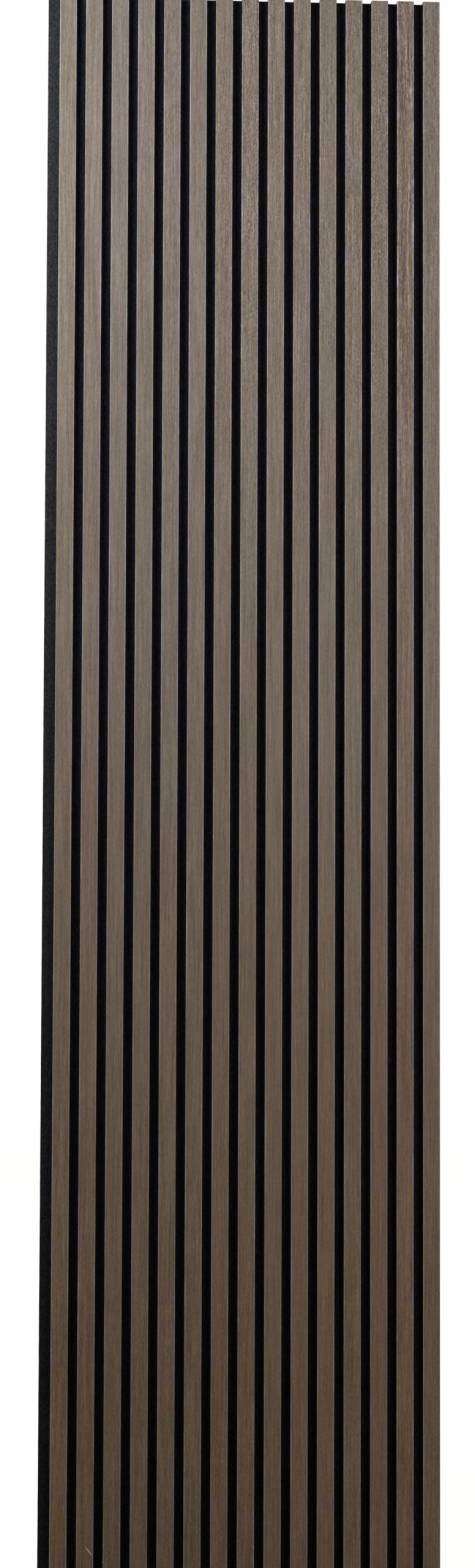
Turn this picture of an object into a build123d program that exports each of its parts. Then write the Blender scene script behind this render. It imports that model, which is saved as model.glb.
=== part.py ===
from build123d import *
import os

# Acoustic slat wall panel, in millimetres. Wood-faced slats stand side by side on one sheet of felt.
# +Z runs up the slats, the face looks along -Y, and the back of the felt lies in the wall plane Y = 0.
# The origin is the middle of that back face.

# Driving dimensions: the whole panel
PANEL_HEIGHT = 2400.0
SLAT_COUNT = 15
SLAT_PITCH = 40.0

# Driving dimensions: felt sheet
FELT_DEPTH = 9.0
FELT_LEFT_MARGIN = 18.0
FELT_RIGHT_MARGIN = 1.0

# Driving dimensions: slats
SLAT_WIDTH = 26.0
SLAT_DEPTH = 12.0
VENEER_DEPTH = 0.6
VENEER_EDGE_RADIUS = 0.45

# Driving dimensions: wire staples, driven from the back
STAPLES_PER_SLAT = 6
STAPLE_END_DISTANCE = 75.0
STAPLE_CROWN = 5.7
STAPLE_LEG = 16.0
WIRE_DEPTH = 1.0
WIRE_WIDTH = 1.25
WIRE_BEND_CUT = 0.5
STAPLE_SINK = 0.3

# Places that follow from them
PANEL_WIDTH = FELT_LEFT_MARGIN + (SLAT_COUNT - 1) * SLAT_PITCH + SLAT_WIDTH + FELT_RIGHT_MARGIN
FIRST_SLAT_X = -PANEL_WIDTH / 2 + FELT_LEFT_MARGIN + SLAT_WIDTH / 2
FELT_FRONT_Y = -FELT_DEPTH
CORE_FRONT_Y = FELT_FRONT_Y - SLAT_DEPTH + VENEER_DEPTH
FACE_Y = FELT_FRONT_Y - SLAT_DEPTH
STAPLE_PITCH = (PANEL_HEIGHT - 2 * STAPLE_END_DISTANCE) / (STAPLES_PER_SLAT - 1)

slat_centres = [FIRST_SLAT_X + i * SLAT_PITCH for i in range(SLAT_COUNT)]


def upright_strip(centre_x, width, back_y, front_y):
    """A full-height strip between two depths, both ends cut square."""
    outline = Pos(centre_x, (back_y + front_y) / 2) * Rectangle(width, back_y - front_y)
    return Pos(0, 0, -PANEL_HEIGHT / 2) * extrude(outline, PANEL_HEIGHT)


def staple_spots(centres):
    """Where the staples sit: one row up the middle of each slat."""
    lowest = -PANEL_HEIGHT / 2 + STAPLE_END_DISTANCE
    return [Pos(x, 0, lowest + i * STAPLE_PITCH) for x in centres for i in range(STAPLES_PER_SLAT)]


def wire_staple():
    """A U of flat wire. The crown lies across the slat just under the felt's back face, the outer
    corners of the bends are eased, and the tips are cut to a chisel point from the inside."""
    back = -STAPLE_SINK
    tip = back - STAPLE_LEG
    outer = STAPLE_CROWN / 2
    inner = outer - WIRE_DEPTH
    outline = Polyline(
        (-outer, back), (outer, back), (outer, tip), (inner, tip + WIRE_DEPTH),
        (inner, back - WIRE_DEPTH), (-inner, back - WIRE_DEPTH), (-inner, tip + WIRE_DEPTH),
        (-outer, tip), close=True,
    )
    side = make_face(outline)
    bends = side.vertices().group_by(Axis.Y)[-1]
    return extrude(chamfer(bends, WIRE_BEND_CUT), WIRE_WIDTH / 2, both=True)


def staple_pocket():
    """The slit that a staple opens in the felt: its own legs, and the crown pressed in from behind."""
    crown_floor = STAPLE_SINK + WIRE_DEPTH
    crown_slit = Pos(0, -crown_floor / 2) * Box(STAPLE_CROWN, crown_floor, WIRE_WIDTH)
    return wire_staple() + crown_slit


def felt_backing():
    """One sheet behind all the slats, slit where each staple passes through."""
    sheet = upright_strip(0, PANEL_WIDTH, 0, FELT_FRONT_Y)
    pocket = staple_pocket()
    return sheet - [spot * pocket for spot in staple_spots(slat_centres)]


def slat_core(centre_x):
    """A fibreboard lath on the felt, with a blind socket for every staple leg."""
    lath = upright_strip(centre_x, SLAT_WIDTH, FELT_FRONT_Y, CORE_FRONT_Y)
    staple = wire_staple()
    return lath - [spot * staple for spot in staple_spots([centre_x])]


def veneer_face(centre_x):
    """A veneer strip over the front of a core, its two long front edges sanded round."""
    strip = upright_strip(centre_x, SLAT_WIDTH, CORE_FRONT_Y, FACE_Y)
    long_edges = strip.edges().filter_by(Axis.Z).group_by(Axis.Y)[0]
    return fillet(long_edges, VENEER_EDGE_RADIUS)


def staples():
    """All the staples of the panel, as separate solids."""
    staple = wire_staple()
    return Compound(children=[spot * staple for spot in staple_spots(slat_centres)])


parts = {"felt_backing": felt_backing(), "staples": staples()}
for number, centre_x in enumerate(slat_centres, start=1):
    parts[f"slat_core_{number:02d}"] = slat_core(centre_x)
    parts[f"veneer_face_{number:02d}"] = veneer_face(centre_x)

os.makedirs("parts", exist_ok=True)
for node, shape in parts.items():
    export_step(shape, f"parts/{node}.step")
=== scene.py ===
import math
import random

import bmesh
import bpy
from mathutils import Matrix, Vector, noise


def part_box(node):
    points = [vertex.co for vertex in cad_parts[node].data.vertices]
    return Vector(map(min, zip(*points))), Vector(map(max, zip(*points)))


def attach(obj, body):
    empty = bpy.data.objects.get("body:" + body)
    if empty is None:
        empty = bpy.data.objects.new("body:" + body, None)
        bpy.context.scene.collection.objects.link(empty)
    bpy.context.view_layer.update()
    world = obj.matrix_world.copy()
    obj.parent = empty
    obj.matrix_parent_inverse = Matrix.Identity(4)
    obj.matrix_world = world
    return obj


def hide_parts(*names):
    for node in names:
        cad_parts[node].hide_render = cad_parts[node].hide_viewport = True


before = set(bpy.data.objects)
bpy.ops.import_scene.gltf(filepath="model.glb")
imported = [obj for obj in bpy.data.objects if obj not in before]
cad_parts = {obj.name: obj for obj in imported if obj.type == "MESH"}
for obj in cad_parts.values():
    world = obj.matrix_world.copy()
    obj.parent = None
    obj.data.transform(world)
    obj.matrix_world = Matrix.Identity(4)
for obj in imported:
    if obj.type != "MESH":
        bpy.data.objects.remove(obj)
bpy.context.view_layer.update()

# Felt sheet
# The real piece is one 9 mm board of black needled polyester fibre that carries all the slats. It is cut
# with a blade, so its edges are soft and slightly ragged. The staples pull small dimples into its back.
MM = 0.001
NEAR = 0.01 * MM
X_AXIS = Vector((1, 0, 0))
Y_AXIS = Vector((0, 1, 0))
Z_AXIS = Vector((0, 0, 1))

SLATS = 15
felt_low, felt_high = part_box("felt_backing")
slat_boxes = [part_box(f"slat_core_{number:02d}") for number in range(1, SLATS + 1)]
slat_centres = [(low.x + high.x) / 2 for low, high in slat_boxes]
slat_width = slat_boxes[0][1].x - slat_boxes[0][0].x

STAPLES_PER_SLAT = 6
STAPLE_END_DISTANCE = 75 * MM
lowest_staple = felt_low.z + STAPLE_END_DISTANCE
staple_pitch = (felt_high.z - felt_low.z - 2 * STAPLE_END_DISTANCE) / (STAPLES_PER_SLAT - 1)
staple_heights = [lowest_staple + row * staple_pitch for row in range(STAPLES_PER_SLAT)]

FELT_EDGE_RADIUS = 0.9 * MM
FELT_EDGE_SEGMENTS = 3
FELT_EDGE_BAND = 1.2 * FELT_EDGE_RADIUS
FELT_ROW = 8 * MM
FELT_RAGGED = 0.35 * MM
FELT_RAGGED_PITCH = 9 * MM
DIMPLE_FLOOR = (3.3 * MM, 1.0 * MM)
DIMPLE_RIM = (5.2 * MM, 3.2 * MM)
DIMPLE_DEPTH = 0.8 * MM

FELT_BLACK = (0.0262, 0.0261, 0.028, 1.0)
FELT_CLUMP_TINT = (0.85, 0.87, 0.82, 1.0)
FELT_HOLLOW_TINT = (0.48, 0.48, 0.5, 1.0)
FELT_TUFT_TINT = (1.7, 1.7, 1.7, 1.0)
FELT_DEEP_TINT = (0.5, 0.5, 0.5, 1.0)
FELT_FIBRE_TINT = (2.6, 2.65, 2.7, 1.0)
# Painted shade: the felt in the grooves between the slats is drawn darker and bluer, for the shade that
# falls in them.
FELT_GROOVE_PAINTED_SHADE = (0.5, 0.54, 0.72, 1.0)
# Painted shade: the bare margin of felt is drawn darker toward the foot, where less light falls.
FELT_FOOT_PAINTED_SHADE = (0.62, 0.65, 0.71, 1.0)
FELT_RELIEF = 0.45 * MM
# In millimetres, as the materials read their place.
FELT_FOOT_SHADE_HEIGHTS = (1100.0, -1000.0)


def block(low, high):
    """A closed box between two corners."""
    shape = bmesh.new()
    bmesh.ops.create_cube(shape, size=1.0)
    bmesh.ops.scale(shape, vec=high - low, verts=shape.verts)
    bmesh.ops.translate(shape, vec=(low + high) / 2, verts=shape.verts)
    return shape


def ease(shape, edges, radius, segments):
    """Rounds these edges."""
    bmesh.ops.bevel(
        shape, geom=edges, offset=radius, segments=segments, profile=0.5,
        affect="EDGES", material=-1, clamp_overlap=True,
    )


def cut_square(shape, axis, places):
    """Cuts right through the shape, square to one axis, at each place."""
    for place in places:
        everything = shape.verts[:] + shape.edges[:] + shape.faces[:]
        bmesh.ops.bisect_plane(shape, geom=everything, plane_co=axis * place, plane_no=axis)


def divide_runs(shape, axis, row):
    """Divides the long edges that lie along one axis into runs of about this length."""
    by_cuts = {}
    for edge in shape.edges:
        run = edge.verts[1].co - edge.verts[0].co
        along_axis = abs(run.dot(axis)) > 0.999 * run.length
        if along_axis and run.length > 1.5 * row:
            cuts = round(run.length / row) - 1
            by_cuts.setdefault(cuts, []).append(edge)
    for cuts, edges in sorted(by_cuts.items()):
        bmesh.ops.subdivide_edges(shape, edges=edges, cuts=cuts, use_grid_fill=True)


def make_piece(name, shape, materials, slot, *nodes):
    """Turns a shape into a piece that rides with the panel and stands for these CAD nodes."""
    mesh = bpy.data.meshes.new(name)
    shape.to_mesh(mesh)
    shape.free()
    for material in materials:
        mesh.materials.append(material)
    piece = bpy.data.objects.new(name, mesh)
    bpy.context.scene.collection.objects.link(piece)
    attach(piece, "root")
    if nodes:
        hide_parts(*nodes)


def add_node(tree, kind, inputs, **settings):
    """One shader node. Each input is a plain value, or the socket that feeds it."""
    node = tree.nodes.new(kind)
    for name, value in settings.items():
        setattr(node, name, value)
    for name, value in inputs.items():
        if isinstance(value, bpy.types.NodeSocket):
            tree.links.new(value, node.inputs[name])
        else:
            node.inputs[name].default_value = value
    return node


def math_of(tree, operation, first, second=0.0, third=0.0):
    """The result of one sum, product or other operation."""
    inputs = {0: first, 1: second, 2: third}
    return add_node(tree, "ShaderNodeMath", inputs, operation=operation).outputs[0]


def ramp_between(tree, value, start, end, low=0.0, high=1.0):
    """Eases from low to high while the value goes from start to end."""
    inputs = {"Value": value, "From Min": start, "From Max": end, "To Min": low, "To Max": high}
    return add_node(tree, "ShaderNodeMapRange", inputs, interpolation_type="SMOOTHSTEP").outputs["Result"]


def noise_field(tree, place, detail=1.0, rough=0.5):
    """Cloudy noise, one unit of the place to a cloud."""
    inputs = {"Vector": place, "Scale": 1.0, "Detail": detail, "Roughness": rough}
    return add_node(tree, "ShaderNodeTexNoise", inputs).outputs["Fac"]


def tinted(tree, colour, tint, amount):
    """The colour, multiplied by a tint where the amount is 1."""
    inputs = {"Factor": amount, 6: colour, 7: tint}
    return add_node(tree, "ShaderNodeMix", inputs, data_type="RGBA", blend_type="MULTIPLY").outputs[2]


def new_material(name):
    """An empty material, with its node tree and the shader that everything feeds."""
    material = bpy.data.materials.new(name)
    material.use_nodes = True
    tree = material.node_tree
    tree.nodes.clear()
    shader = tree.nodes.new("ShaderNodeBsdfPrincipled")
    output = tree.nodes.new("ShaderNodeOutputMaterial")
    tree.links.new(shader.outputs["BSDF"], output.inputs["Surface"])
    return material, tree, shader


def in_millimetres(tree, centre=(0.0, 0.0, 0.0), stretch=(1.0, 1.0, 1.0)):
    """The place on the piece, in millimetres from a centre given in metres."""
    place = tree.nodes.new("ShaderNodeTexCoord").outputs["Object"]
    scale = [1.0 / (MM * part) for part in stretch]
    move = [-middle * part for middle, part in zip(centre, scale)]
    inputs = {"Vector": place, "Location": move, "Scale": scale}
    return add_node(tree, "ShaderNodeMapping", inputs, vector_type="POINT").outputs["Vector"]


def felt_material():
    """Black polyester felt: clumped fibres of slightly different blacks, without any shine. Painted shade
    darkens the felt in the grooves between the slats, and the bare margin toward the foot.
    """
    material, tree, shader = new_material("black_needled_felt")
    clumps = noise_field(tree, in_millimetres(tree, stretch=(6.0, 6.0, 11.0)), detail=2.0, rough=0.5)
    tufts = noise_field(tree, in_millimetres(tree, stretch=(1.9, 1.9, 3.6)), detail=2.0, rough=0.6)
    upright = noise_field(tree, in_millimetres(tree, stretch=(0.35, 0.5, 1.3)), detail=2.0, rough=0.65)
    crossed = noise_field(tree, in_millimetres(tree, stretch=(1.4, 0.5, 0.4)), detail=2.0, rough=0.65)
    pile = math_of(tree, "MULTIPLY", math_of(tree, "ADD", upright, crossed), 0.5)

    colour = tinted(tree, FELT_BLACK, FELT_CLUMP_TINT, ramp_between(tree, clumps, start=0.38, end=0.62))
    colour = tinted(tree, colour, FELT_HOLLOW_TINT, ramp_between(tree, tufts, start=0.5, end=0.3))
    colour = tinted(tree, colour, FELT_TUFT_TINT, ramp_between(tree, tufts, start=0.5, end=0.7))
    colour = tinted(tree, colour, FELT_DEEP_TINT, ramp_between(tree, pile, start=0.5, end=0.37))
    colour = tinted(tree, colour, FELT_FIBRE_TINT, ramp_between(tree, pile, start=0.56, end=0.68))

    place = add_node(tree, "ShaderNodeSeparateXYZ", {0: in_millimetres(tree)}).outputs
    face = felt_low.y / MM
    first_slat = slat_boxes[0][0].x / MM
    front = ramp_between(tree, place["Y"], start=face + 2.0, end=face + 1.0)
    right_of_margin = ramp_between(tree, place["X"], start=first_slat - 2.0, end=first_slat)
    # Painted shade: the front of the felt right of the bare margin, in the grooves between the slats, is
    # darkened where shade falls.
    groove_shade_mask = math_of(tree, "MULTIPLY", front, right_of_margin)
    colour = tinted(tree, colour, FELT_GROOVE_PAINTED_SHADE, groove_shade_mask)
    bare_margin = math_of(tree, "SUBTRACT", front, groove_shade_mask)
    # Painted shade: the bare margin darkens toward the foot, where less light reaches it.
    margin_shade_toward_foot = ramp_between(tree, place["Z"], *FELT_FOOT_SHADE_HEIGHTS)
    colour = tinted(tree, colour, FELT_FOOT_PAINTED_SHADE, math_of(tree, "MULTIPLY", bare_margin, margin_shade_toward_foot))
    tree.links.new(colour, shader.inputs["Base Color"])

    height = math_of(tree, "MULTIPLY_ADD", tufts, 0.8, pile)
    height = math_of(tree, "MULTIPLY_ADD", clumps, 0.3, height)
    relief = {"Height": height, "Strength": 0.7, "Distance": FELT_RELIEF}
    bump = add_node(tree, "ShaderNodeBump", relief)
    tree.links.new(bump.outputs["Normal"], shader.inputs["Normal"])
    shader.inputs["Roughness"].default_value = 1.0
    shader.inputs["Specular IOR Level"].default_value = 0.0
    shader.inputs["Sheen Weight"].default_value = 0.05
    shader.inputs["Sheen Roughness"].default_value = 0.5
    return material


def pull_dimples(shape):
    """Presses the felt's back in round every staple crown."""
    for vert in shape.verts:
        across = min(abs(vert.co.x - x) for x in slat_centres)
        along = min(abs(vert.co.z - z) for z in staple_heights)
        on_floor = across < DIMPLE_FLOOR[0] + NEAR and along < DIMPLE_FLOOR[1] + NEAR
        if on_floor and vert.co.y > felt_high.y - 10 * NEAR:
            vert.co.y -= DIMPLE_DEPTH


def fray_edges(shape):
    """Moves the sheet's outer edges in by a few tenths, unevenly, as a blade leaves them."""
    for vert in shape.verts:
        place = vert.co / FELT_RAGGED_PITCH
        bite = FELT_RAGGED * (0.5 + 0.5 * noise.noise(place))
        bite += 0.5 * FELT_RAGGED * abs(noise.noise(3 * place))
        for axis in (0, 2):
            if felt_high[axis] - vert.co[axis] < FELT_EDGE_BAND:
                vert.co[axis] -= bite
            elif vert.co[axis] - felt_low[axis] < FELT_EDGE_BAND:
                vert.co[axis] += bite


def felt_sheet():
    """The board, with soft ragged edges and a dimple round every staple crown."""
    shape = block(felt_low, felt_high)
    ease(shape, shape.edges[:], FELT_EDGE_RADIUS, FELT_EDGE_SEGMENTS)
    cuts_across = []
    for centre in slat_centres:
        for side in (-1, 1):
            cuts_across += [centre + side * DIMPLE_FLOOR[0], centre + side * DIMPLE_RIM[0]]
    cuts_along = []
    for height in staple_heights:
        for side in (-1, 1):
            cuts_along += [height + side * DIMPLE_FLOOR[1], height + side * DIMPLE_RIM[1]]
    cut_square(shape, X_AXIS, cuts_across)
    cut_square(shape, Z_AXIS, cuts_along)
    divide_runs(shape, Z_AXIS, FELT_ROW)
    pull_dimples(shape)
    fray_edges(shape)
    bmesh.ops.recalc_face_normals(shape, faces=shape.faces[:])
    return shape


make_piece("felt_sheet", felt_sheet(), [felt_material()], "felt", "felt_backing")

# Slat cores
# The real laths are black-dyed fibreboard, sawn from a sheet and glued and stapled to the felt. Their
# matt sides show in the grooves, with fine saw lines across them and a speckle of paler fibres.
FIBREBOARD_BLACK = (0.0045, 0.0042, 0.0045, 1.0)
FIBREBOARD_PATCH_TINT = (1.5, 1.45, 1.4, 1.0)
FIBREBOARD_SPECK_TINT = (3.2, 2.9, 2.6, 1.0)
FIBREBOARD_RELIEF = 0.12 * MM


def fibreboard_material():
    """Black-dyed fibreboard: a dull speckle, with saw lines that run across the lath."""
    material, tree, shader = new_material("black_dyed_fibreboard")
    speckle = noise_field(tree, in_millimetres(tree, stretch=(0.5, 0.5, 0.7)), detail=3.0, rough=0.7)
    patches = noise_field(tree, in_millimetres(tree, stretch=(14.0, 14.0, 40.0)), detail=2.0)
    saw_lines = noise_field(tree, in_millimetres(tree, stretch=(30.0, 30.0, 0.9)), detail=1.0)
    in_patch = ramp_between(tree, patches, start=0.35, end=0.7)
    colour = tinted(tree, FIBREBOARD_BLACK, FIBREBOARD_PATCH_TINT, in_patch)
    colour = tinted(tree, colour, FIBREBOARD_SPECK_TINT, ramp_between(tree, speckle, start=0.6, end=0.74))
    tree.links.new(colour, shader.inputs["Base Color"])
    height = math_of(tree, "MULTIPLY_ADD", saw_lines, 0.7, speckle)
    relief = {"Height": height, "Strength": 0.6, "Distance": FIBREBOARD_RELIEF}
    bump = add_node(tree, "ShaderNodeBump", relief)
    tree.links.new(bump.outputs["Normal"], shader.inputs["Normal"])
    roughness = ramp_between(tree, speckle, start=0.3, end=0.7, low=0.72, high=0.95)
    tree.links.new(roughness, shader.inputs["Roughness"])
    shader.inputs["Specular IOR Level"].default_value = 0.06
    return material


fibreboard = fibreboard_material()
for number in range(1, SLATS + 1):
    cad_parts[f"slat_core_{number:02d}"].material_slots[0].material = fibreboard

# Veneer faces
# The real strips are 0.6 mm leaves of grey-brown stained wood, glued to the fronts of the laths, sanded
# round along both long edges and matt lacquered. Each has a grain of its own, flamed or lined near the
# top on the middle and right-hand slats. The sanded edges are paler, and their pale line also holds a
# painted highlight. A few are chipped.
VENEER_EDGE_RADIUS = 0.45 * MM
VENEER_EDGE_SEGMENTS = 5
VENEER_EDGE_BAND = 0.9 * VENEER_EDGE_RADIUS
VENEER_ROW = 15 * MM
SANDING_UNEVEN = 0.07 * MM
SANDING_PITCH = 40 * MM
SANDING_BIAS = 0.4
SANDING_SLAT_STEP = 5.1
SANDING_SIDE_STEP = 3.7
FLAT_FRONT = 0.99
veneer_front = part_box("veneer_face_01")[0].y

RAW_WOOD = "raw_wood"
CHIPS = [(2, 1, -1167.2 * MM), (3, -1, -1149.6 * MM), (3, -1, -1174.1 * MM), (7, -1, -92 * MM)]
CHIP_LENGTH = 4.4 * MM
CHIP_DEPTH = 0.85 * MM
CHIP_SINK = 0.4 * CHIP_DEPTH
CHIP_EDGE_BAND = 1.1 * VENEER_EDGE_RADIUS
SCORED_SLAT = 2
SCORE_START = (0.2 * MM, -1150.2 * MM)
SCORE_END = (12.0 * MM, -1166.0 * MM)
SCORE_WIDTH = 3.9 * MM
SCORE_WIDEST = 0.35
SCORE_RUNOUT = 1.3
SCORE_CUTS = (0.0, 0.15, SCORE_WIDEST, 0.88, 1.0)
SCORE_INSIDE = (0.05, 0.95)
SCORE_DEPTH = 0.4 * MM

FLAME_AT_TOP = [0.05, 0.08, 0.1, 0.15, 0.3, 0.12, 0.6, 0.85, 0.72, 0.78, 0.8, 0.75, 1.12, 1.1, 0.65]
LINED_AT_TOP = [0.0, 0.0, 0.0, 0.0, 0.3, 0.0, 0.5, 0.1, 1.0, 1.0, 0.8, 0.5, 0.0, 1.0, 1.0]
GRAIN_SEED = 158
LEAF_SEEDS = (1, 40)
LEAF_STEP = 17.3
TONE_SPREAD = (0.97, 1.03)
HUE_SPREAD = (0.985, 1.02)
STAIN = (0.161, 0.125, 0.1)
RAW_WOOD_COLOUR = (0.66, 0.56, 0.46, 1.0)
STAIN_RESPONSE = {"Red": 0.9, "Green": 1.0, "Blue": 1.12}
PINK_TINT = (1.015, 0.991, 1.01, 1.0)
GREEN_TINT = (0.99, 1.009, 0.985, 1.0)
TAN_TINT = (1.03, 1.0, 0.9, 1.0)
OLIVE_TINT = (0.975, 1.0, 0.88, 1.0)
# Paler sanded edge, partly real wear and partly a painted highlight of light catching the rounded edge.
ARRIS_WEAR_AND_HIGHLIGHT_TINT = (1.43, 1.6, 1.8, 1.0)
# Painted light: the veneer is drawn warmer toward the foot, for the warm light that falls there.
PAINTED_WARM_LIGHT_TINT = (1.13, 1.0, 0.89, 1.0)
SIDE_TINT = (0.35, 0.33, 0.33, 1.0)
SAWN_TINT = (0.55, 0.5, 0.47, 1.0)
PORE_TONE = -0.22
PORE_HEIGHT = -0.8
LACQUER_ROUGHNESS = 0.56
ROUGHNESS_FALL = -0.5
VENEER_RELIEF = 0.08 * MM
# In millimetres, as the materials read their place.
DRIFT_REACH = 5.0
SWIRL_REACH = 4.0
FLAME_HEIGHTS = (100.0, 1000.0)
FOOT_HEIGHTS = (-300.0, -1000.0)
PAINTED_WARM_LIGHT_HEIGHTS = (450.0, -900.0)
SAWN_HEIGHTS = (1198.8, 1199.6)
ARRIS_FROM_MIDDLE = (10.9, 11.7)
SIDE_FROM_MIDDLE = (12.86, 12.96)


def new_group(name, inputs, outputs):
    """An empty shader group with these sockets, and its input and output nodes."""
    group = bpy.data.node_groups.new(name, "ShaderNodeTree")
    for socket, kind in inputs.items():
        group.interface.new_socket(socket, in_out="INPUT", socket_type=kind)
    for socket, kind in outputs.items():
        group.interface.new_socket(socket, in_out="OUTPUT", socket_type=kind)
    return group, group.nodes.new("NodeGroupInput").outputs, group.nodes.new("NodeGroupOutput").inputs


def grain_group():
    """Straight fine grain of a stained veneer. The place is in millimetres from the slat's middle."""
    group, given, result = new_group(
        "veneer_grain",
        {"Place": "NodeSocketVector", "Colour": "NodeSocketColor", "Seed": "NodeSocketFloat",
         "Flame": "NodeSocketFloat", "Lined": "NodeSocketFloat"},
        {"Colour": "NodeSocketColor", "Roughness": "NodeSocketFloat", "Height": "NodeSocketFloat"},
    )
    split = add_node(group, "ShaderNodeSeparateXYZ", {0: given["Place"]}).outputs
    across, along = split["X"], split["Z"]
    leaf = math_of(group, "MULTIPLY", given["Seed"], LEAF_STEP)

    def field(x, width, length, offset, detail=1.0, rough=0.5):
        """Noise with streaks of this width and length, in millimetres."""
        streaks = {
            "X": math_of(group, "DIVIDE", x, width),
            "Y": math_of(group, "ADD", leaf, offset),
            "Z": math_of(group, "DIVIDE", along, length),
        }
        place = add_node(group, "ShaderNodeCombineXYZ", streaks).outputs[0]
        return noise_field(group, place, detail, rough)

    def centred(part):
        """A field, moved so that its middle is zero."""
        return math_of(group, "SUBTRACT", part, 0.5)

    top = ramp_between(group, along, *FLAME_HEIGHTS)
    foot = ramp_between(group, along, *FOOT_HEIGHTS)
    patches = field(across, width=40.0, length=110.0, offset=31.0, detail=0.0)
    patch = ramp_between(group, patches, start=0.3, end=0.6, low=0.45, high=1.0)
    flamed = math_of(group, "MULTIPLY", math_of(group, "MULTIPLY", given["Flame"], top), patch)
    drift = field(across, width=60.0, length=240.0, offset=3.0, detail=0.0)
    grain_line = math_of(group, "MULTIPLY_ADD", drift, DRIFT_REACH, across)
    curls = field(across, width=6.0, length=18.0, offset=5.0)
    swirl = math_of(group, "MULTIPLY", centred(curls), SWIRL_REACH)
    grain_line = math_of(group, "MULTIPLY_ADD", swirl, flamed, grain_line)

    def weighted(total, part, weight):
        """Adds a field, centred on zero, to the running total."""
        return math_of(group, "MULTIPLY_ADD", centred(part), weight, total)

    def weight_of(plain, where_flamed, at_foot=0.0):
        """A weight that grows where the grain is flamed and toward the foot."""
        base = math_of(group, "MULTIPLY_ADD", foot, at_foot, plain)
        return math_of(group, "MULTIPLY_ADD", flamed, where_flamed, base)

    streaks = field(grain_line, width=2.1, length=120.0, offset=7.0, detail=0.0)
    tone = weighted(0.0, streaks, weight=0.6)
    hairs = field(grain_line, width=1.25, length=30.0, offset=11.0, detail=2.0, rough=0.6)
    tone = weighted(tone, hairs, weight_of(plain=0.65, where_flamed=0.8, at_foot=0.35))
    bands = field(grain_line, width=8.0, length=220.0, offset=13.0, detail=0.0)
    tone = weighted(tone, bands, weight=0.2)
    dashes = field(grain_line, width=1.4, length=14.0, offset=17.0, detail=0.0)
    tone = weighted(tone, dashes, weight_of(plain=0.25, where_flamed=0.75))
    clouds = field(across, width=22.0, length=70.0, offset=19.0)
    tone = weighted(tone, clouds, weight=0.12)
    flecks = field(grain_line, width=1.1, length=4.2, offset=23.0, rough=0.6)
    in_flame = math_of(group, "MULTIPLY_ADD", given["Lined"], -0.6, 1.95)
    tone = weighted(tone, flecks, weight_of(plain=0.65, where_flamed=in_flame, at_foot=0.3))
    lines = field(grain_line, width=1.9, length=120.0, offset=43.0, detail=0.0)
    in_lines = math_of(group, "MULTIPLY", math_of(group, "MULTIPLY", flamed, given["Lined"]), 1.3)
    tone = weighted(tone, lines, in_lines)
    pits = field(grain_line, width=0.32, length=4.5, offset=27.0, rough=0.6)
    pores = ramp_between(group, pits, start=0.57, end=0.66)
    tone = math_of(group, "MULTIPLY_ADD", pores, PORE_TONE, tone)

    stained = {
        channel: math_of(group, "EXPONENT", math_of(group, "MULTIPLY", tone, response))
        for channel, response in STAIN_RESPONSE.items()
    }
    lift = add_node(group, "ShaderNodeCombineColor", stained).outputs["Color"]
    colour = tinted(group, given["Colour"], lift, 1.0)
    blush = field(across, width=13.0, length=130.0, offset=29.0, detail=0.0)
    pink = ramp_between(group, blush, start=0.3, end=0.7)
    colour = tinted(group, colour, PINK_TINT, pink)
    colour = tinted(group, colour, GREEN_TINT, math_of(group, "SUBTRACT", 1.0, pink))
    tan = ramp_between(group, field(grain_line, width=4.5, length=45.0, offset=33.0), start=0.4, end=0.65)
    colour = tinted(group, colour, TAN_TINT, tan)
    olive = ramp_between(group, field(across, width=30.0, length=120.0, offset=41.0), start=0.4, end=0.62)
    colour = tinted(group, colour, OLIVE_TINT, math_of(group, "MULTIPLY", olive, foot))

    distance = math_of(group, "ABSOLUTE", across)
    # A pale, uneven line along both long edges: sanded wear, with a painted highlight on top.
    near_arris = ramp_between(group, distance, *ARRIS_FROM_MIDDLE)
    arris_patchiness = field(across, width=3.0, length=45.0, offset=37.0, detail=2.0)
    uneven = ramp_between(group, arris_patchiness, start=0.3, end=0.6, low=0.5, high=1.0)
    arris_wear_and_highlight = math_of(group, "MULTIPLY", near_arris, uneven)
    colour = tinted(group, colour, ARRIS_WEAR_AND_HIGHLIGHT_TINT, arris_wear_and_highlight)
    # Painted warm light: the colour grows warmer toward the foot, except on the pale edges.
    painted_warm_light = ramp_between(group, along, *PAINTED_WARM_LIGHT_HEIGHTS)
    painted_warm_light = math_of(group, "MULTIPLY", painted_warm_light, math_of(group, "SUBTRACT", 1.0, arris_wear_and_highlight))
    colour = tinted(group, colour, PAINTED_WARM_LIGHT_TINT, painted_warm_light)
    colour = tinted(group, colour, SIDE_TINT, ramp_between(group, distance, *SIDE_FROM_MIDDLE))
    colour = tinted(group, colour, SAWN_TINT, ramp_between(group, along, *SAWN_HEIGHTS))

    group.links.new(colour, result["Colour"])
    roughness = math_of(group, "MULTIPLY_ADD", tone, ROUGHNESS_FALL, LACQUER_ROUGHNESS)
    group.links.new(roughness, result["Roughness"])
    group.links.new(math_of(group, "MULTIPLY_ADD", pores, PORE_HEIGHT, tone), result["Height"])
    return group


veneer_grain = grain_group()


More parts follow.
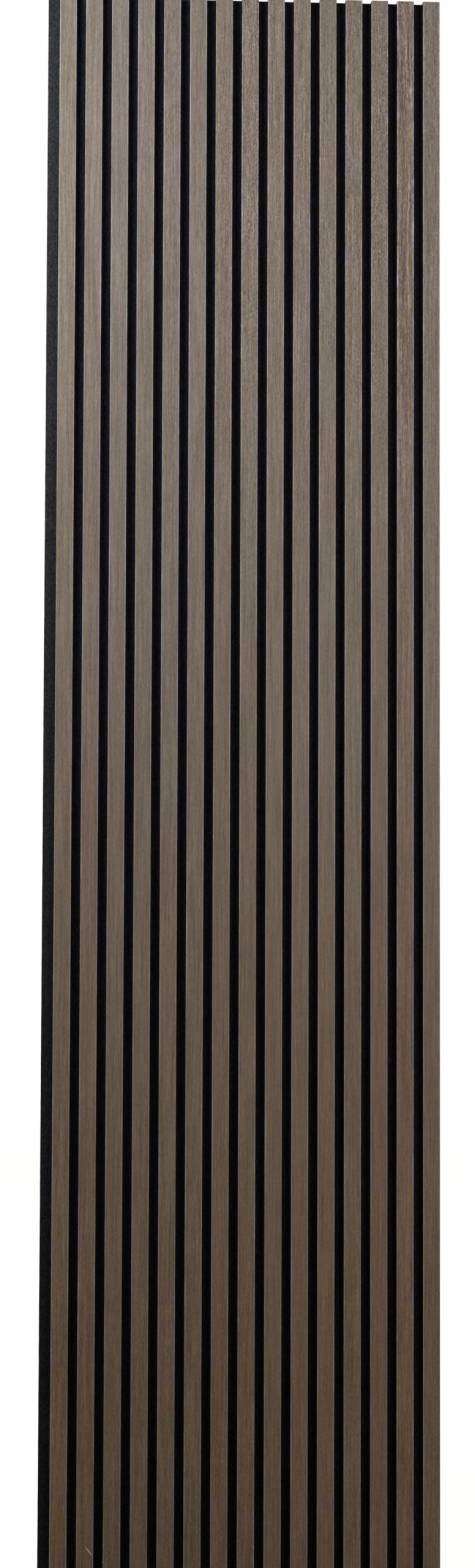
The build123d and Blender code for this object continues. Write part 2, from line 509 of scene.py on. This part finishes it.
def veneer_material(number, centre, flame, lined, draw):
    """The stained and lacquered veneer of one slat, with its own tone and figure."""
    material, tree, shader = new_material(f"stained_veneer_{number:02d}")
    grain = add_node(tree, "ShaderNodeGroup", {}, node_tree=veneer_grain)
    tone = draw.uniform(*TONE_SPREAD)
    warmth = draw.uniform(*HUE_SPREAD)
    green = draw.uniform(*HUE_SPREAD)
    stain = (STAIN[0] * tone * warmth, STAIN[1] * tone * green, STAIN[2] * tone / warmth, 1.0)
    grain.inputs["Colour"].default_value = stain
    grain.inputs["Seed"].default_value = draw.uniform(*LEAF_SEEDS)
    grain.inputs["Flame"].default_value = flame
    grain.inputs["Lined"].default_value = lined
    tree.links.new(in_millimetres(tree, centre=(centre, 0.0, 0.0)), grain.inputs["Place"])
    bared = add_node(tree, "ShaderNodeAttribute", {}, attribute_name=RAW_WOOD).outputs["Fac"]
    inputs = {"Factor": bared, 6: grain.outputs["Colour"], 7: RAW_WOOD_COLOUR}
    colour = add_node(tree, "ShaderNodeMix", inputs, data_type="RGBA").outputs[2]
    tree.links.new(colour, shader.inputs["Base Color"])
    tree.links.new(grain.outputs["Roughness"], shader.inputs["Roughness"])
    relief = {"Height": grain.outputs["Height"], "Strength": 0.5, "Distance": VENEER_RELIEF}
    bump = add_node(tree, "ShaderNodeBump", relief)
    tree.links.new(bump.outputs["Normal"], shader.inputs["Normal"])
    shader.inputs["Specular IOR Level"].default_value = 0.16
    return material


def chip_edge(shape, middle, side, height):
    """A chip out of one long front edge, with pale raw wood in it."""
    raw = shape.verts.layers.float[RAW_WOOD]
    cut_square(shape, Z_AXIS, (height - CHIP_LENGTH / 2, height, height + CHIP_LENGTH / 2))
    chipped = [
        face for face in shape.faces
        if abs(face.calc_center_median().z - height) < CHIP_LENGTH / 2
    ]
    around = {item for face in chipped for item in face.verts[:] + face.edges[:]}
    inner = X_AXIS * (middle + side * (slat_width / 2 - 2 * CHIP_DEPTH))
    bmesh.ops.bisect_plane(shape, geom=chipped + list(around), plane_co=inner, plane_no=X_AXIS)
    for vert in shape.verts:
        from_edge = slat_width / 2 - side * (vert.co.x - middle)
        on_edge = from_edge < CHIP_EDGE_BAND
        on_front = vert.co.y < veneer_front + VENEER_EDGE_BAND
        if abs(vert.co.z - height) < NEAR and on_edge and on_front:
            vert.co.x -= side * CHIP_DEPTH
            vert.co.y += CHIP_SINK
            vert[raw] = 1.0


def score_face(shape, middle):
    """A splinter torn out of the face on a slant, down to one edge, which leaves a pale groove."""
    raw = shape.verts.layers.float[RAW_WOOD]
    start = Vector((middle + SCORE_START[0], veneer_front, SCORE_START[1]))
    run = Vector((SCORE_END[0] - SCORE_START[0], 0, SCORE_END[1] - SCORE_START[1]))
    sideways = run.cross(Y_AXIS).normalized()
    planes = [(start, sideways)]
    for step in (-1, 1):
        widest = run * SCORE_WIDEST + sideways * step * SCORE_WIDTH / 2
        planes.append((start, widest.cross(Y_AXIS).normalized()))
        planes.append((start + widest, (run * SCORE_RUNOUT - widest).cross(Y_AXIS).normalized()))
    planes += [(start + run * part, run.normalized()) for part in SCORE_CUTS]
    lowest = start.z + run.z - 2 * VENEER_ROW
    highest = start.z + 2 * VENEER_ROW
    for point, normal in planes:
        faces = [
            face for face in shape.faces
            if face.normal.y < -FLAT_FRONT
            and any(lowest < vert.co.z < highest for vert in face.verts)
        ]
        around = {item for face in faces for item in face.verts[:] + face.edges[:]}
        bmesh.ops.bisect_plane(shape, geom=faces + list(around), plane_co=point, plane_no=normal)
    for vert in shape.verts:
        reach = (vert.co - start).dot(run) / run.length_squared
        inside = SCORE_INSIDE[0] < reach < SCORE_INSIDE[1]
        on_line = inside and abs((vert.co - start).dot(sideways)) < NEAR
        if on_line and vert.co.y < veneer_front + NEAR:
            vert.co.y += SCORE_DEPTH
            vert[raw] = 1.0


def veneer_strip(number):
    """One strip with its long front edges sanded round, a little unevenly, and any damage it has."""
    low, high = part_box(f"veneer_face_{number:02d}")
    shape = block(low, high)
    front_edges = [
        edge for edge in shape.edges
        if all(vert.co.y < low.y + NEAR for vert in edge.verts)
        and abs(edge.verts[0].co.x - edge.verts[1].co.x) < NEAR
    ]
    ease(shape, front_edges, VENEER_EDGE_RADIUS, VENEER_EDGE_SEGMENTS)
    divide_runs(shape, Z_AXIS, VENEER_ROW)
    middle = (low.x + high.x) / 2
    for vert in shape.verts:
        side = 1 if vert.co.x > middle else -1
        from_edge = slat_width / 2 - abs(vert.co.x - middle)
        from_front = vert.co.y - low.y
        if from_edge < VENEER_EDGE_BAND and from_front < VENEER_EDGE_BAND:
            across = (number * SANDING_SLAT_STEP, side * SANDING_SIDE_STEP)
            pressure = noise.noise(Vector((*across, vert.co.z / SANDING_PITCH)))
            rub = SANDING_UNEVEN * max(0.0, SANDING_BIAS + pressure)
            vert.co.x -= side * rub
            vert.co.y += rub
    shape.verts.layers.float.new(RAW_WOOD)
    for slat, side, height in CHIPS:
        if slat == number:
            chip_edge(shape, middle, side, height)
    if number == SCORED_SLAT:
        score_face(shape, middle)
    for face in shape.faces:
        face.smooth = 0.01 < abs(face.normal.y) < FLAT_FRONT
    return shape


draw = random.Random(GRAIN_SEED)
for number, centre in enumerate(slat_centres, start=1):
    flame = FLAME_AT_TOP[number - 1]
    lined = LINED_AT_TOP[number - 1]
    finish = veneer_material(number, centre, flame, lined, draw)
    make_piece(
        f"veneer_strip_{number:02d}", veneer_strip(number), [finish], "wood_veneer",
        f"veneer_face_{number:02d}",
    )

# Staples
# The real ones are bent from flat galvanised wire, 1 by 1.25 mm, and driven through the felt into the
# laths from behind. Only their crowns show, sunk a little into the felt.
WIRE_DEPTH = 1.0 * MM
WIRE_WIDTH = 1.25 * MM
STAPLE_CROWN = 5.7 * MM
STAPLE_LEG = 16.0 * MM
STAPLE_SINK = 0.3 * MM
BEND_RADIUS = 0.4 * MM
BEND_STEPS = 4
SEAM = 0.001 * MM
ZINC = (0.6, 0.6, 0.62, 1.0)
SPANGLE_TINT = (0.62, 0.63, 0.66, 1.0)
WIRE_RELIEF = 0.03 * MM


def staple_material():
    """Galvanised wire: dull zinc with cloudy spangle and faint lines along the wire."""
    material, tree, shader = new_material("galvanised_wire")
    spangle = noise_field(tree, in_millimetres(tree, stretch=(0.9, 0.9, 0.9)), detail=3.0, rough=0.6)
    lines = noise_field(tree, in_millimetres(tree, stretch=(4.0, 4.0, 0.09)), detail=1.0)
    colour = tinted(tree, ZINC, SPANGLE_TINT, ramp_between(tree, spangle, start=0.4, end=0.6))
    tree.links.new(colour, shader.inputs["Base Color"])
    roughness = ramp_between(tree, spangle, start=0.35, end=0.65, low=0.3, high=0.52)
    tree.links.new(roughness, shader.inputs["Roughness"])
    bump = add_node(tree, "ShaderNodeBump", {"Height": lines, "Strength": 0.4, "Distance": WIRE_RELIEF})
    tree.links.new(bump.outputs["Normal"], shader.inputs["Normal"])
    shader.inputs["Metallic"].default_value = 1.0
    return material


def bent_staple():
    """One staple at the origin: half of it is extruded, bent and extruded on, then mirrored."""
    shape = bmesh.new()
    back = -STAPLE_SINK
    outer = STAPLE_CROWN / 2
    section = bmesh.ops.create_grid(shape, x_segments=1, y_segments=1, size=0.5)["verts"]
    bmesh.ops.scale(shape, vec=(WIRE_DEPTH, WIRE_WIDTH, 1), verts=section)
    bmesh.ops.rotate(shape, matrix=Matrix.Rotation(math.pi / 2, 3, X_AXIS), verts=section)
    tip = back - STAPLE_LEG
    bmesh.ops.translate(shape, vec=(outer - WIRE_DEPTH / 2, tip, 0), verts=section)
    leg_run = STAPLE_LEG - WIRE_DEPTH - BEND_RADIUS
    leg = bmesh.ops.extrude_face_region(shape, geom=shape.faces[:])["geom"]
    leg_end = [item for item in leg if isinstance(item, bmesh.types.BMVert)]
    bmesh.ops.translate(shape, vec=(0, leg_run, 0), verts=leg_end)
    for vert in shape.verts:
        if vert.co.y < tip + NEAR and vert.co.x < outer - WIRE_DEPTH / 2:
            vert.co.y += WIRE_DEPTH
    end_face = [item for item in leg if isinstance(item, bmesh.types.BMFace)]
    bend_centre = (outer - WIRE_DEPTH - BEND_RADIUS, back - WIRE_DEPTH - BEND_RADIUS, 0)
    bend = bmesh.ops.spin(
        shape, geom=end_face, cent=bend_centre, axis=Z_AXIS, angle=math.pi / 2, steps=BEND_STEPS,
        use_merge=False,
    )["geom_last"]
    crown = bmesh.ops.extrude_face_region(
        shape, geom=[item for item in bend if isinstance(item, bmesh.types.BMFace)]
    )["geom"]
    for vert in [item for item in crown if isinstance(item, bmesh.types.BMVert)]:
        vert.co.x = 0.0
    inner_faces = [face for face in shape.faces if all(abs(vert.co.x) < SEAM for vert in face.verts)]
    bmesh.ops.delete(shape, geom=inner_faces, context="FACES_ONLY")
    half = shape.verts[:] + shape.edges[:] + shape.faces[:]
    bmesh.ops.mirror(shape, geom=half, axis="X", merge_dist=SEAM)
    bmesh.ops.remove_doubles(shape, verts=shape.verts[:], dist=SEAM)
    bmesh.ops.recalc_face_normals(shape, faces=shape.faces[:])
    return shape


def all_staples():
    """Six staples up the middle of each slat."""
    shape = bent_staple()
    pattern = shape.verts[:] + shape.edges[:] + shape.faces[:]
    for centre in slat_centres:
        for height in staple_heights:
            copy = bmesh.ops.duplicate(shape, geom=pattern)["geom"]
            verts = [item for item in copy if isinstance(item, bmesh.types.BMVert)]
            bmesh.ops.translate(shape, vec=(centre, 0, height), verts=verts)
    bmesh.ops.delete(shape, geom=[item for item in pattern if isinstance(item, bmesh.types.BMVert)])
    return shape


make_piece("wire_staples", all_staples(), [staple_material()], "staple_wire", "staples")

# Floor and light
# A plain pale floor under the panel, a white surround for the camera, and three soft lamps: the main one
# high on the left, a weaker one in front on the right, and one behind for the felt's back.
FLOOR_SIZE = 14.0
FLOOR_COLOUR = (0.3, 0.24, 0.17, 1.0)
FLOOR_GLOW_RANGE = (1.0, 3.0)
FLOOR_GLOW = (0.9, 0.985)
WHITE = (1.0, 1.0, 1.0, 1.0)
DIM_COLOUR = (1.0, 0.95, 0.85, 1.0)
DIM_STRENGTH = 0.04
COOL_LIGHT = (0.82, 0.905, 1.0)
WARM_LIGHT = (1.0, 0.95, 0.9)
WHITE_LIGHT = (1.0, 1.0, 1.0)
CAMERA_PLACE = Vector((-0.1973, -3.8315, -0.2024))
CAMERA_TURN = -0.0498
CAMERA_TILT = 0.0497
CAMERA_ROLL = -0.0036
CAMERA_LENS = 57.83
SENSOR_WIDTH = 36.0


def seen_directly(tree):
    """1 for rays from the camera, or by way of a mirror or glass."""
    rays = tree.nodes.new("ShaderNodeLightPath").outputs
    mirrored = math_of(tree, "MAXIMUM", rays["Is Glossy Ray"], rays["Is Transmission Ray"])
    return math_of(tree, "MAXIMUM", rays["Is Camera Ray"], mirrored)


def floor_material():
    """Pale matt floor that reads as white to the camera, and a little darker near the panel."""
    material, tree, shader = new_material("pale_floor")
    shader.inputs["Base Color"].default_value = FLOOR_COLOUR
    shader.inputs["Roughness"].default_value = 1.0
    shader.inputs["Specular IOR Level"].default_value = 0.0
    shader.inputs["Emission Color"].default_value = WHITE
    place = add_node(tree, "ShaderNodeTexCoord", {}).outputs["Object"]
    level = {0: place, 1: (1.0, 1.0, 0.0)}
    on_floor = add_node(tree, "ShaderNodeVectorMath", level, operation="MULTIPLY").outputs[0]
    distance = add_node(tree, "ShaderNodeVectorMath", {0: on_floor}, operation="LENGTH").outputs["Value"]
    glow = ramp_between(tree, distance, *FLOOR_GLOW_RANGE, *FLOOR_GLOW)
    glow = math_of(tree, "MULTIPLY", seen_directly(tree), glow)
    tree.links.new(glow, shader.inputs["Emission Strength"])
    return material


def studio_floor():
    """One flat square under the panel."""
    shape = bmesh.new()
    bmesh.ops.create_grid(shape, x_segments=1, y_segments=1, size=FLOOR_SIZE / 2)
    bmesh.ops.translate(shape, vec=Z_AXIS * felt_low.z, verts=shape.verts)
    mesh = bpy.data.meshes.new("studio_floor")
    shape.to_mesh(mesh)
    shape.free()
    mesh.materials.append(floor_material())
    floor = bpy.data.objects.new("studio_floor", mesh)
    bpy.context.scene.collection.objects.link(floor)


def studio_lamp(name, place, target, size, power, colour):
    """A square soft lamp that faces its target."""
    data = bpy.data.lights.new(name, "AREA")
    data.shape = "SQUARE"
    data.size = size
    data.energy = power
    data.color = colour
    lamp = bpy.data.objects.new(name, data)
    lamp.location = place
    lamp.rotation_euler = (Vector(target) - Vector(place)).to_track_quat("-Z", "Y").to_euler()
    lamp.visible_camera = False
    bpy.context.scene.collection.objects.link(lamp)


def studio_surround():
    """White to the camera, and a dim even light for everything else."""
    world = bpy.data.worlds.new("studio_surround")
    bpy.context.scene.world = world
    world.use_nodes = True
    tree = world.node_tree
    tree.nodes.clear()
    white = add_node(tree, "ShaderNodeBackground", {"Color": WHITE, "Strength": 1.0})
    dim = add_node(tree, "ShaderNodeBackground", {"Color": DIM_COLOUR, "Strength": DIM_STRENGTH})
    both = add_node(
        tree, "ShaderNodeMixShader",
        {0: seen_directly(tree), 1: dim.outputs["Background"], 2: white.outputs["Background"]},
    )
    output = tree.nodes.new("ShaderNodeOutputWorld")
    tree.links.new(both.outputs["Shader"], output.inputs["Surface"])


studio_floor()
studio_surround()
studio_lamp(
    "main_lamp", place=(-1.0, -0.97, 1.36), target=(0, 0, 0.1), size=0.7, power=38.8, colour=COOL_LIGHT,
)
studio_lamp(
    "side_lamp", place=(1.06, -1.59, 0.69), target=(0, 0, 0.1), size=1.0, power=20.9, colour=WARM_LIGHT,
)
studio_lamp(
    "back_lamp", place=(1.3, 2.6, 1.3), target=(0, 0, 0), size=1.6, power=60, colour=WHITE_LIGHT,
)

camera_data = bpy.data.cameras.new("camera")
camera_data.sensor_width = SENSOR_WIDTH
camera_data.lens = CAMERA_LENS
camera = bpy.data.objects.new("camera", camera_data)
aim = Matrix.Rotation(CAMERA_TURN, 4, "Z") @ Matrix.Rotation(CAMERA_TILT, 4, "X")
aim = aim @ Matrix.Rotation(CAMERA_ROLL, 4, "Y") @ Matrix.Rotation(math.pi / 2, 4, "X")
camera.matrix_world = Matrix.Translation(CAMERA_PLACE) @ aim
bpy.context.scene.collection.objects.link(camera)
bpy.context.scene.camera = camera
bpy.context.scene.view_settings.view_transform = "Standard"
